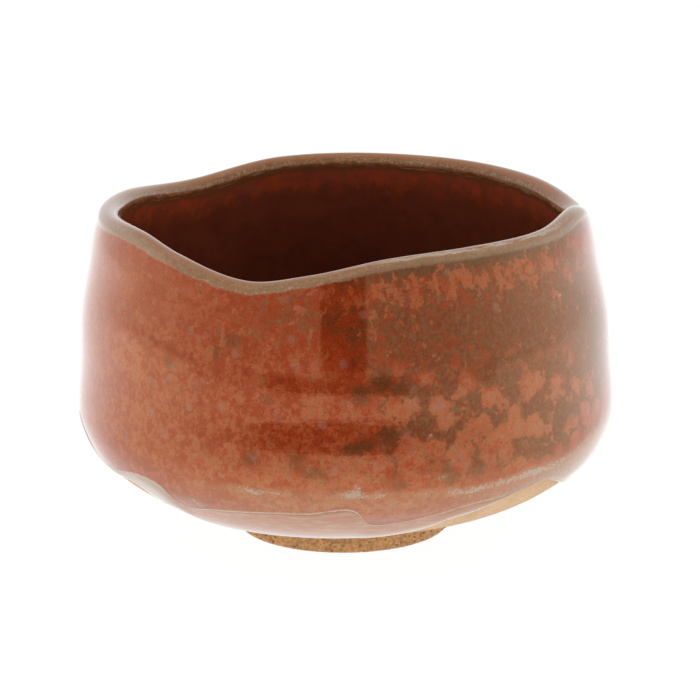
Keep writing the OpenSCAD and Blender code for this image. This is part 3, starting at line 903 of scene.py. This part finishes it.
def roll_paint(n, glaze, at, fine):
    """Pale roll with streaks along it, a lighter strip at its foot, a chipped outline with a painted shadow
    line just under it, and its reach.
    """
    edge = n.value_of("above_edge")
    top = n.plus(n.value_of("above_roll"), (fine, 0.0008), -0.0004)
    streaks = n.noise(n.stretched(at, (0.4, 0.4, 2.5)), 0.0018, 3, 0.6)
    paint = n.over(glaze.salmon, glaze.lavender, n.rise(streaks, 0.42, 0.68))
    paint = n.over(paint, glaze.lavender, n.fall(n.plus(edge, (fine, 0.0008)), 0.0020, 0.0028))
    paint = n.over(paint, glaze.milky, n.value_of("bloom"))
    # Painted shadow: a thin darker line just under the ridge along the top of the roll
    painted_ridge_shadow = n.near(top, -0.0006, 0.00005, 0.0003)
    line = n.value_of("roll_line")
    paint = n.over(paint, glaze.taupe, painted_ridge_shadow, line, 0.7)
    chips = n.near(top, 0.0, 0.0001, 0.0003)
    chips = n.times(chips, line, n.rise(n.noise(at, 0.0012, 2), 0.36, 0.5))
    lower = n.times(n.fall(edge, 0.0002, 0.0006), line, 0.6)
    paint = n.over(paint, glaze.cream, n.maths("MAXIMUM", chips, lower))
    return paint, n.fall(top, -0.0001, 0.0003)


def iron_glaze_group(glaze):
    """Colour, roughness and relief of the outer glaze from the foot's edge to the lip."""
    tree = bpy.data.node_groups.new("iron_glaze", "ShaderNodeTree")
    outputs = {
        "Colour": "Color", "Tint": "Color", "Roughness": "Float", "Height": "Float", "Crystals": "Float"
    }
    for name, kind in outputs.items():
        tree.interface.new_socket(name, in_out="OUTPUT", socket_type="NodeSocket" + kind)
    n = Nodes(tree)
    at = n.here()
    middle = n.noise(at, 0.004, 4, 0.6)
    fine = n.noise(at, 0.0012, 4, 0.65)
    fibres = n.noise(n.stretched(at, (1, 1, 0.55)), 0.0008, 3, 0.6)
    grain = n.noise(at, 0.0004, 2)
    paint, tint = mottling(n, glaze, at, (fine, fibres))
    paint = blemishes(n, glaze, at, paint)
    paint = n.shade(paint, n.plus((grain, 0.9), (fibres, 0.6), 0.25))

    crawl = n.value_of("crawl")
    crust = n.plus((n.noise(at, 0.0006, 2), 1.5), (n.noise(at, 0.0025, 2), 0.7), -1.1)
    flecks = n.rise(n.plus(crawl, crust), 0.40, 0.60)
    below = n.plus(n.value_of("above_crawl"), (fine, 0.003), (grain, 0.002), -0.0025)
    below = n.fall(below, -0.0025, 0.0020)
    streaks = n.noise(n.stretched(at, (0.3, 0.3, 2)), 0.0016, 3, 0.6)
    milk = n.over(glaze.milky, glaze.beige, n.rise(streaks, 0.48, 0.66), 0.6)
    milk = n.shade(milk, n.plus((grain, 1.0), (fine, 0.8), 0.1))
    paint = n.over(paint, milk, below, n.value_of("bloom"))
    paint = n.over(paint, glaze.beige, n.maths("MINIMUM", crawl, 0.5))
    paint = n.over(paint, glaze.cream, flecks, 0.6)

    under = n.plus(n.value_of("under_crest"), (middle, 0.0012), (fine, 0.0010), -0.0011)
    lip = n.fall(under, 0.0028, 0.0034)
    paint = n.over(paint, lip_bands(n, glaze, under, (fine, grain)), lip)

    rolled, in_roll = roll_paint(n, glaze, at, fine)
    paint = n.over(paint, rolled, in_roll)

    rough = n.maths("MAXIMUM", n.plus((fine, 0.10), 0.03), n.times(flecks, 0.4))
    wheel = n.noise(n.stretched(at, (0.1, 0.1, 1)), 0.0009, 3)
    height = n.plus((middle, 0.6), (fine, 0.15), (wheel, 0.3))
    dry = n.less(n.times(n.rise(under, 0.0020, 0.0036), n.value_of("lip_run")))
    plain = n.maths("MAXIMUM", n.maths("MAXIMUM", n.times(lip, dry), in_roll), flecks)
    n.add("NodeGroupOutput", {
        "Colour": paint, "Tint": tint, "Roughness": rough, "Height": height, "Crystals": n.less(plain),
    })
    return tree


def iron_glaze(name):
    """Glossy glaze whose iron crystals tint its reflections."""
    _, glaze, _ = sizes()
    group = bpy.data.node_groups.get("iron_glaze") or iron_glaze_group(glaze)
    material, n = new_material(name)
    coat = n.add("ShaderNodeGroup", node_tree=group)
    crystals = n.out(coat, "Crystals")
    facing = n.out(n.add("ShaderNodeLayerWeight", {"Blend": 0.5}), "Facing")
    tint = n.over(n.out(coat, "Tint"), glaze.side_sheen, n.rise(facing, 0.0, 0.3), 0.45)
    tint = n.over(tint, glaze.edge_sheen, n.rise(facing, 0.3, 0.7))
    finish_material(
        n, n.out(coat, "Colour"), n.out(coat, "Roughness"), n.out(coat, "Height"), depth=0.00003,
        **{
            "IOR": 2.1, "Specular IOR Level": n.plus((crystals, 0.75), 0.2),
            "Specular Tint": n.over(glaze.plain_sheen, tint, crystals),
            "Coat Weight": 1.0, "Coat IOR": 1.35, "Coat Roughness": 0.03,
            "Sheen Weight": 0.75, "Sheen Roughness": 0.12, "Sheen Tint": (1.0, 0.94, 0.86),
        },
    )
    return material


def dark_glaze():
    """Dark coat inside, with a sooty band under the lip and orange flecks below it, and painted shade:
    lighter just under the band and darker deeper in the hollow.
    """
    _, glaze, _ = sizes()
    material, n = new_material("dark_glaze")
    at = n.here()
    middle = n.noise(at, 0.006, 4, 0.6)
    fine = n.noise(at, 0.001, 3)
    depth = n.times(n.value_of("under_crest"), -1.0)
    ragged = n.plus(depth, (middle, 0.003), (fine, 0.001), -0.002)
    paint = n.shade(glaze.dark, n.plus((middle, 0.9), 0.55))
    # Painted shade: the coat is painted lighter just under the lip and darker deeper down the hollow
    painted_depth_shade = n.rise(ragged, 0.004, 0.030)
    painted_rim_light = n.rise(ragged, 0.004, 0.011)
    paint = n.shade(paint, n.plus((painted_depth_shade, -0.3), (painted_rim_light, -0.6), 1.6))
    embers = n.rise(n.noise(n.stretched(at, (1, 1, 0.8)), 0.0038, 4, 0.7), 0.44, 0.68)
    embers = n.times(embers, n.fall(ragged, 0.0050, 0.0125), 0.8)
    paint = n.over(paint, glaze.orange, embers)
    paint = n.over(paint, glaze.soot, n.fall(ragged, 0.0036, 0.0048))
    low = n.fall(n.part(at, "Z"), 0.018, 0.032)
    rough = n.plus((fine, 0.12), (low, 0.24), 0.06)
    finish_material(n, paint, rough, middle, depth=0.00006, IOR=1.55)
    return material


def bare_clay(name, base, speck, coarse):
    """Unglazed clay with iron specks, finer or coarser."""
    material, n = new_material(name)
    at = n.here()
    wide = n.noise(at, 0.006, 3)
    fine = n.noise(at, 0.0008 * coarse, 4, 0.7)
    paint = n.shade(base, n.plus((wide, 0.5), 0.75))
    bits = n.noise(at, 0.0004 * coarse, 2, 0.7)
    paint = n.shade(paint, n.plus((bits, 1.6 * coarse), 1.06 - 0.8 * coarse))
    paint = n.over(paint, speck, n.rise(fine, 0.48, 0.66), 0.42 * coarse)
    paint = n.over(paint, speck, n.value_of("grain"), 0.6)
    rough = n.plus((fine, 0.2), 0.72)
    veil = {"Sheen Weight": 0.2 * coarse, "Sheen Roughness": 0.25}
    finish_material(n, paint, rough, fine, depth=0.0003 * coarse, IOR=1.45, **veil)
    return material


def geometry_tree(name, inputs):
    """New tree that takes a geometry and named inputs, and its group input's sockets."""
    tree = bpy.data.node_groups.new(name, "GeometryNodeTree")
    tree.interface.new_socket("Geometry", in_out="INPUT", socket_type="NodeSocketGeometry")
    for key, kind in inputs.items():
        tree.interface.new_socket(key, in_out="INPUT", socket_type="NodeSocket" + kind)
    tree.interface.new_socket("Geometry", in_out="OUTPUT", socket_type="NodeSocketGeometry")
    nodes = Nodes(tree)
    given = nodes.add("NodeGroupInput")
    return nodes, lambda key: nodes.out(given, key)


def end_tree(nodes, geometry, material):
    real = nodes.add("GeometryNodeRealizeInstances", {"Geometry": geometry})
    painted = nodes.add("GeometryNodeSetMaterial", {"Geometry": nodes.out(real), "Material": material})
    nodes.add("NodeGroupOutput", {"Geometry": nodes.out(painted)})


def pressed(n, given, place, outward, detail):
    """Geometry pressed in unevenly, by up to the tree's Depth."""
    scale = n.maths("DIVIDE", 1.0, given("Size"))
    uneven = n.add("ShaderNodeTexNoise", {"Vector": place, "Scale": scale, "Detail": detail})
    offset = n.shade(outward, n.times(n.out(uneven), given("Depth"), -1.0))
    return n.out(n.add("GeometryNodeSetPosition", {"Geometry": given("Geometry"), "Offset": offset}))


def thrown_tree():
    """Presses the uneven touch of the potter's fingers into a wall, always inwards."""
    n, given = geometry_tree("thrown_touch", {"Depth": "Float", "Size": "Float", "Material": "Material"})
    place = n.out(n.add("GeometryNodeInputPosition"))
    flat = n.stretched(place, (1, 1, 0))
    outward = n.out(n.add("ShaderNodeVectorMath", {0: flat}, operation="NORMALIZE"))
    end_tree(n, pressed(n, given, place, outward, 1.0), given("Material"))
    return n.tree


def gritty_tree():
    """Roughens bare clay and sets loose grains of grit in it, away from the standing face."""
    n, given = geometry_tree(
        "gritty_clay",
        {
            "Depth": "Float", "Size": "Float", "Grain": "Float", "Density": "Float", "Seed": "Int",
            "Material": "Material",
        },
    )
    place = n.out(n.add("GeometryNodeInputPosition"))
    normal = n.out(n.add("GeometryNodeInputNormal"))
    rough = pressed(n, given, place, normal, 3.0)
    clear = n.maths("GREATER_THAN", n.part(normal, "Z"), GRIT_SLOPE)
    seed = given("Seed")
    scatter = n.add(
        "GeometryNodeDistributePointsOnFaces",
        {"Mesh": rough, "Selection": clear, "Density": given("Density"), "Seed": seed},
    )
    size = n.add("FunctionNodeRandomValue", {"Min": 0.3, "Max": 1.0, "Seed": seed}, data_type="FLOAT")
    spin = n.add(
        "FunctionNodeRandomValue", {"Min": (0, 0, 0), "Max": FULL_SPIN, "Seed": seed},
        data_type="FLOAT_VECTOR",
    )
    pebble = n.add("GeometryNodeMeshIcoSphere", {"Radius": given("Grain"), "Subdivisions": 1})
    grains = n.add(
        "GeometryNodeInstanceOnPoints",
        {
            "Points": n.out(scatter, "Points"), "Instance": n.out(pebble, "Mesh"),
            "Rotation": n.out(spin, "Value"), "Scale": n.out(size, "Value"),
        },
    )
    tint = n.add("FunctionNodeRandomValue", {"Min": 0.0, "Max": 1.0, "Seed": 7}, data_type="FLOAT")
    named = n.add(
        "GeometryNodeStoreNamedAttribute",
        {"Geometry": n.out(grains), "Name": "grain", "Value": n.out(tint, "Value")},
        data_type="FLOAT", domain="INSTANCE",
    )
    joined = n.add("GeometryNodeJoinGeometry")
    n.put(joined.inputs[0], rough)
    n.put(joined.inputs[0], n.out(named))
    end_tree(n, n.out(joined), given("Material"))
    return n.tree


def through_tree(mesh, name, tree, values):
    """Object whose mesh has passed through a tree of geometry nodes."""
    raw = bpy.data.objects.new(name + "_raw", mesh)
    bpy.context.scene.collection.objects.link(raw)
    modifier = raw.modifiers.new(tree.name, "NODES")
    modifier.node_group = tree
    for item in tree.interface.items_tree:
        if item.in_out == "INPUT" and item.name in values:
            modifier[item.identifier] = values[item.name]
    graph = bpy.context.evaluated_depsgraph_get()
    evaluated = raw.evaluated_get(graph)
    made = bpy.data.meshes.new_from_object(evaluated, preserve_all_data_layers=True, depsgraph=graph)
    bpy.data.objects.remove(raw)
    made.name = name
    piece = bpy.data.objects.new(name, made)
    bpy.context.scene.collection.objects.link(piece)
    return piece


def seat(piece, node):
    """Sets a piece in the place of its CAD node."""
    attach(piece, "root")
    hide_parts(node)


def thrown(mesh, name, material):
    tree = bpy.data.node_groups.get("thrown_touch") or thrown_tree()
    return through_tree(mesh, name, tree, {**TOUCH, "Material": material})


def outer_coat(name, stretches, node, slot):
    """Makes a piece of the outer glaze over some stretches of the path."""
    mesh = shell(bowl_form(), name, stretches)
    seat(thrown(mesh, name, iron_glaze(slot)), node)


class BOWL_OT_clay_body(bpy.types.Operator):
    """Make the thrown clay wall, hip, underside and floor"""

    bl_idname = "bowl.clay_body"
    bl_label = "Clay body"

    def execute(self, context):
        form = bowl_form()
        clay = form.clay
        radii = np.concatenate([
            np.linspace(0, clay.nub_r, NUB_RINGS + 1)[1:],
            np.linspace(clay.nub_r, form.foot_in_top_r, RECESS_RINGS + 1)[1:],
        ])
        recess = circles((r, form.recess_z(r)) for r in radii)
        bare, _ = form.rings((BARE,), FINE, False)
        hidden, _ = form.rings(GLAZED, COARSE, False)
        rings = np.concatenate([recess, bare, hidden[1:]])
        poles = [(0, 0, float(form.recess_z(0.0))), form.floor_middle(0.0)]
        mesh = loft("clay_wall", rings, poles=poles)
        material = bare_clay("body_clay", clay.body_colour, clay.speck_colour, BODY_GRIT)
        seat(thrown(mesh, "clay_wall", material), "clay_body")
        return {"FINISHED"}


class BOWL_OT_foot_ring(bpy.types.Operator):
    """Make the turned foot ring with the grit of its coarse clay"""

    bl_idname = "bowl.foot_ring"
    bl_label = "Foot ring"

    def execute(self, context):
        form = bowl_form()
        clay = form.clay
        ease = clay.foot_ease
        corners = [
            (form.foot_in_r + ease, 0), (clay.foot_r - ease, 0), (clay.foot_r, ease),
            (clay.foot_top_r, clay.foot_h), (form.foot_in_top_r, clay.foot_h), (form.foot_in_r, ease),
        ]
        steps = (8, 3, 14, 4, 14, 3)
        profile = []
        for (r0, z0), (r1, z1), count in zip(corners, corners[1:] + corners[:1], steps):
            t = np.arange(count) / count
            profile += list(zip(r0 + (r1 - r0) * t, z0 + (z1 - z0) * t))
        mesh = loft("turned_foot", circles(profile), looped=True)
        material = bare_clay("foot_clay", clay.foot_colour, clay.speck_colour, FOOT_GRIT)
        values = {**GRIT, "Material": material}
        seat(through_tree(mesh, "turned_foot", gritty_tree(), values), "foot_ring")
        return {"FINISHED"}


class BOWL_OT_outside_glaze(bpy.types.Operator):
    """Make the red coat of the outer wall"""

    bl_idname = "bowl.outside_glaze"
    bl_label = "Outside glaze"

    def execute(self, context):
        outer_coat("red_coat", OUTSIDE, "outside_glaze", "red_glaze")
        return {"FINISHED"}


class BOWL_OT_inside_glaze(bpy.types.Operator):
    """Make the dark coat inside"""

    bl_idname = "bowl.inside_glaze"
    bl_label = "Inside glaze"

    def execute(self, context):
        form = bowl_form()
        over, places = form.rings(INSIDE, FINE, True)
        under, _ = form.rings(INSIDE, COARSE, False)
        rings = np.concatenate([under[::-1], over])
        pooled = form.glaze.coat_t + form.glaze.pool_t
        poles = [form.floor_middle(0.0), form.floor_middle(pooled)]
        marked = len(under)
        values = form.marks(over, places)
        mesh = loft("dark_coat", rings, poles=poles, values=values, marked=marked, sharp=(marked,))
        seat(thrown(mesh, "dark_coat", dark_glaze()), "inside_glaze")
        return {"FINISHED"}


class BOWL_OT_lip_glaze(bpy.types.Operator):
    """Make the iron band over the lip"""

    bl_idname = "bowl.lip_glaze"
    bl_label = "Lip glaze"

    def execute(self, context):
        outer_coat("lip_band", LIP, "lip_glaze", "lip_glaze")
        return {"FINISHED"}


class BOWL_OT_glaze_roll(bpy.types.Operator):
    """Make the thick lower edge where the glaze ran and gathered"""

    bl_idname = "bowl.glaze_roll"
    bl_label = "Glaze roll"

    def execute(self, context):
        outer_coat("run_roll", (ROLL,), "glaze_roll", "roll_glaze")
        return {"FINISHED"}


def floor_material(stage):
    """Pale luminous floor, as on a light table, that still takes a soft shadow.

    Reflections see it dimmer on the camera's side, like the room there, and brighter behind.
    """
    material, n = new_material("pale_floor")
    at = n.here()
    grain = n.noise(at, 0.05, 2)
    paint = n.shade(stage.floor_colour, n.plus((grain, 0.02), 0.99))
    lit = n.add("ShaderNodeBsdfDiffuse", {"Color": paint})
    far = n.out(n.add("ShaderNodeVectorMath", {0: at}, operation="LENGTH"), "Value")
    toward = n.maths("DIVIDE", n.part(at, "Y"), far)
    left = n.rise(n.maths("DIVIDE", n.part(at, "X"), far), *LEFT_SIDE)
    front = n.times(n.fall(toward, *FRONT_TO_BACK), n.rise(far, *NEAR_FLOOR))
    edge = n.times(n.rise(far, *FAR_FLOOR), n.plus((left, FAR_LEFT_DIM), FAR_DIM))
    change = n.plus((front, stage.sky_front - 1), (n.rise(toward, *BEHIND), stage.floor_far), edge)
    glossy = n.out(n.add("ShaderNodeLightPath"), "Is Glossy Ray")
    strength = n.plus(n.times(change, glossy), FLOOR_LEVEL)
    white = n.add("ShaderNodeEmission", {"Color": (1, 1, 1), "Strength": strength})
    mixed = n.add("ShaderNodeMixShader", {0: stage.floor_glow, 1: n.out(lit), 2: n.out(white)})
    n.add("ShaderNodeOutputMaterial", {"Surface": n.out(mixed)})
    return material


def finish_glow(nodes, strength):
    """White light of the surface's own."""
    glow = nodes.add("ShaderNodeEmission", {"Color": (1, 1, 1), "Strength": strength})
    nodes.add("ShaderNodeOutputMaterial", {"Surface": nodes.out(glow)})


def black_card():
    """Card that gives no light."""
    material, n = new_material("black_card")
    finish_glow(n, 0.0)
    return material


def dark_strip(stage):
    """Dark gap at the near edge of the light table, which fades upwards and towards its ends."""
    material, n = new_material("dark_strip")
    at = n.here()
    across = n.part(at, "X")
    ends = n.rise(n.maths("ABSOLUTE", n.plus(across, -GAP_MIDDLE)), *GAP_ENDS)
    beside = n.rise(n.maths("ABSOLUTE", across), *SLOT_SIDE)
    upper = n.times(n.rise(n.part(at, "Z"), *GAP_TOP), beside)
    fade = n.maths("MAXIMUM", ends, upper)
    finish_glow(n, n.plus((fade, stage.sky_front - GAP_LEVEL), GAP_LEVEL))
    return material


def flat_card(name, points, faces, material):
    mesh = bpy.data.meshes.new(name)
    mesh.from_pydata(points, [], faces)
    mesh.materials.append(material)
    card = bpy.data.objects.new(name, mesh)
    bpy.context.scene.collection.objects.link(card)
    return card


def upright_card(name, material, y, half_width, high, bend=0.0):
    """Card in front of the bowl that only reflections see. It may bend towards the bowl at its ends."""
    across = np.linspace(-half_width, half_width, CARD_POINTS)
    foot = [(float(x), float(y + bend * x * x)) for x in across]
    points = [(*place, 0.0) for place in foot] + [(*place, high) for place in foot]
    count = len(foot)
    faces = [(k, k + 1, count + k + 1, count + k) for k in range(count - 1)]
    card = flat_card(name, points, faces, material)
    card.visible_camera = False
    card.visible_diffuse = False
    card.visible_shadow = False


def soft_lamp(name, place, target, size, power):
    light = bpy.data.lights.new(name, "AREA")
    light.shape = "DISK"
    light.size = size
    light.energy = power
    lamp = bpy.data.objects.new(name, light)
    lamp.location = place
    lamp.rotation_mode = "QUATERNION"
    lamp.rotation_quaternion = (Vector(target) - Vector(place)).to_track_quat("-Z", "Y")
    lamp.visible_camera = False
    lamp.visible_glossy = False
    bpy.context.scene.collection.objects.link(lamp)


class BOWL_OT_stage(bpy.types.Operator):
    """Set the floor, the light and the camera"""

    bl_idname = "bowl.stage"
    bl_label = "Stage"

    def execute(self, context):
        _, _, stage = sizes()
        half = stage.floor_size / 2
        corners = [(-half, -half, 0), (half, -half, 0), (half, half, 0), (-half, half, 0)]
        flat_card("pale_floor", corners, [(0, 1, 2, 3)], floor_material(stage))
        upright_card("lens_slot", black_card(), **LENS_SLOT)
        upright_card("front_gap", dark_strip(stage), **FRONT_GAP)
        for side in (-1, 1):
            place = (side * LAMP_SIDE, LAMP_Y, LAMP_Z)
            soft_lamp(f"soft_lamp_{side + 1}", place, stage.target, LAMP_SIZE, stage.lamp_power)
        self.light_all_round(context.scene, stage)
        self.place_camera(context.scene, stage)
        context.scene.view_settings.view_transform = "Standard"
        return {"FINISHED"}

    @staticmethod
    def light_all_round(scene, stage):
        world = bpy.data.worlds.new("white_room")
        world.use_nodes = True
        world.node_tree.nodes.clear()
        n = Nodes(world.node_tree)
        toward = n.out(n.add("ShaderNodeTexCoord"), "Generated")
        up = n.part(toward, "Z")
        back = n.rise(n.part(toward, "Y"), *FRONT_TO_BACK)
        top = n.plus((n.rise(up, *OVERHEAD), stage.sky_top - 1), 1.0)
        glow = n.plus((back, stage.sky_back - stage.sky_front), stage.sky_front)
        path = n.add("ShaderNodeLightPath")
        above = n.times(n.rise(up, *HORIZON), n.out(path, "Is Glossy Ray"))
        left = n.times(n.rise(n.part(toward, "X"), *LEFT_SIDE), SKY_LEFT_DIM)
        seen = n.plus(n.times(above, n.plus(left, stage.sky_seen - 1)), 1.0)
        strength = n.maths("MAXIMUM", n.times(glow, top, seen), n.out(path, "Is Camera Ray"))
        white = n.add("ShaderNodeBackground", {"Color": (1, 1, 1), "Strength": strength})
        n.add("ShaderNodeOutputWorld", {"Surface": n.out(white)})
        scene.world = world

    @staticmethod
    def place_camera(scene, stage):
        target = Vector(stage.target)
        back = Vector((0, -math.cos(stage.elevation), math.sin(stage.elevation)))
        lens = bpy.data.cameras.new("camera")
        lens.sensor_width = SENSOR_WIDTH
        lens.lens = lens.sensor_width * stage.distance / stage.view_width
        lens.clip_end = VIEW_END
        camera = bpy.data.objects.new("camera", lens)
        camera.location = target + back * stage.distance
        camera.rotation_euler = (math.pi / 2 - stage.elevation, 0, 0)
        scene.collection.objects.link(camera)
        scene.camera = camera


class BOWL_PT_panel(bpy.types.Panel):
    """Lists the pieces of the bowl"""

    bl_idname = "BOWL_PT_panel"
    bl_label = "Matcha Bowl"
    bl_space_type = "VIEW_3D"
    bl_region_type = "UI"
    bl_category = "Matcha Bowl"

    def draw(self, context):
        for piece in PIECES:
            self.layout.operator(piece.bl_idname)
        for group in GROUPS:
            box = self.layout.box()
            for key in GROUPS[group].__annotations__:
                box.prop(getattr(context.scene, group), key)


GROUPS = {"bowl_clay": BowlClay, "bowl_glaze": BowlGlaze, "bowl_stage": BowlStage}
PIECES = (
    BOWL_OT_stage, BOWL_OT_clay_body, BOWL_OT_foot_ring, BOWL_OT_outside_glaze, BOWL_OT_inside_glaze,
    BOWL_OT_lip_glaze, BOWL_OT_glaze_roll,
)


def register():
    for item in (*GROUPS.values(), *PIECES, BOWL_PT_panel):
        bpy.utils.register_class(item)
    for name, group in GROUPS.items():
        setattr(bpy.types.Scene, name, bpy.props.PointerProperty(type=group))


def unregister():
    for name in GROUPS:
        delattr(bpy.types.Scene, name)
    for item in (BOWL_PT_panel, *reversed(PIECES), *reversed(GROUPS.values())):
        bpy.utils.unregister_class(item)


def main():
    register()
    for piece in PIECES:
        group, name = piece.bl_idname.split(".")
        getattr(getattr(bpy.ops, group), name)()


if __name__ == "__main__":
    main()
